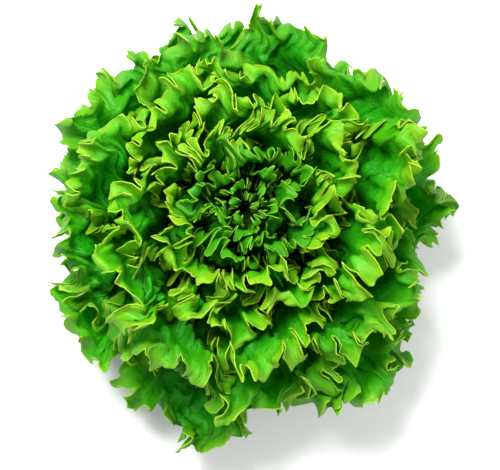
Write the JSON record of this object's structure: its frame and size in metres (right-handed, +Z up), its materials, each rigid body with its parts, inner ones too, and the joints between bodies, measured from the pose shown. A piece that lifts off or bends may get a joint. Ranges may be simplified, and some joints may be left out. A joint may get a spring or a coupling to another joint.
{
  "type": "lettuce head",
  "caption": "Batavia lettuce head: frilled curly leaves in a spiral rosette round a short cut stem, standing on the cut.",
  "frame": {"origin": "centre of the stem's flat cut, on the surface the head stands on", "axes": "+Z up along the stem, through the heart; -Y towards the low side of the picture, +X to its right"},
  "size_m": [0.2969, 0.3252, 0.1528],
  "materials": {
    "stem": "pale green, moist cut face",
    "heart_leaf": "semi-matt leaf, yellow-green edge",
    "middle_leaf": "semi-matt leaf, yellow-green edge",
    "outer_leaf": "semi-matt leaf, yellow-green edge"
  },
  "bodies": {
    "root": {"stem": "stem", "heart_leaf_01": "heart_leaf", "heart_leaf_02": "heart_leaf", "heart_leaf_03": "heart_leaf", "heart_leaf_04": "heart_leaf", "heart_leaf_05": "heart_leaf", "heart_leaf_06": "heart_leaf", "heart_leaf_07": "heart_leaf", "heart_leaf_08": "heart_leaf", "heart_leaf_09": "heart_leaf", "heart_leaf_10": "heart_leaf", "heart_leaf_11": "heart_leaf", "heart_leaf_12": "heart_leaf", "heart_leaf_13": "heart_leaf", "heart_leaf_14": "heart_leaf", "heart_leaf_15": "heart_leaf", "heart_leaf_16": "heart_leaf", "heart_leaf_17": "heart_leaf", "heart_leaf_18": "heart_leaf", "heart_leaf_19": "heart_leaf", "heart_leaf_20": "heart_leaf", "middle_leaf_01": "middle_leaf", "middle_leaf_02": "middle_leaf", "middle_leaf_03": "middle_leaf", "middle_leaf_04": "middle_leaf", "middle_leaf_05": "middle_leaf", "middle_leaf_06": "middle_leaf", "middle_leaf_07": "middle_leaf", "middle_leaf_08": "middle_leaf", "middle_leaf_09": "middle_leaf", "middle_leaf_10": "middle_leaf", "middle_leaf_11": "middle_leaf", "middle_leaf_12": "middle_leaf", "middle_leaf_13": "middle_leaf", "middle_leaf_14": "middle_leaf", "middle_leaf_15": "middle_leaf", "middle_leaf_16": "middle_leaf", "middle_leaf_17": "middle_leaf", "middle_leaf_18": "middle_leaf", "middle_leaf_19": "middle_leaf", "middle_leaf_20": "middle_leaf", "outer_leaf_01": "outer_leaf", "outer_leaf_02": "outer_leaf", "outer_leaf_03": "outer_leaf", "outer_leaf_04": "outer_leaf", "outer_leaf_05": "outer_leaf", "outer_leaf_06": "outer_leaf", "outer_leaf_07": "outer_leaf", "outer_leaf_08": "outer_leaf", "outer_leaf_09": "outer_leaf", "outer_leaf_10": "outer_leaf", "outer_leaf_11": "outer_leaf", "outer_leaf_12": "outer_leaf", "outer_leaf_13": "outer_leaf", "outer_leaf_14": "outer_leaf", "outer_leaf_15": "outer_leaf", "outer_leaf_16": "outer_leaf", "outer_leaf_17": "outer_leaf", "outer_leaf_18": "outer_leaf"}
  },
  "joints": []
}
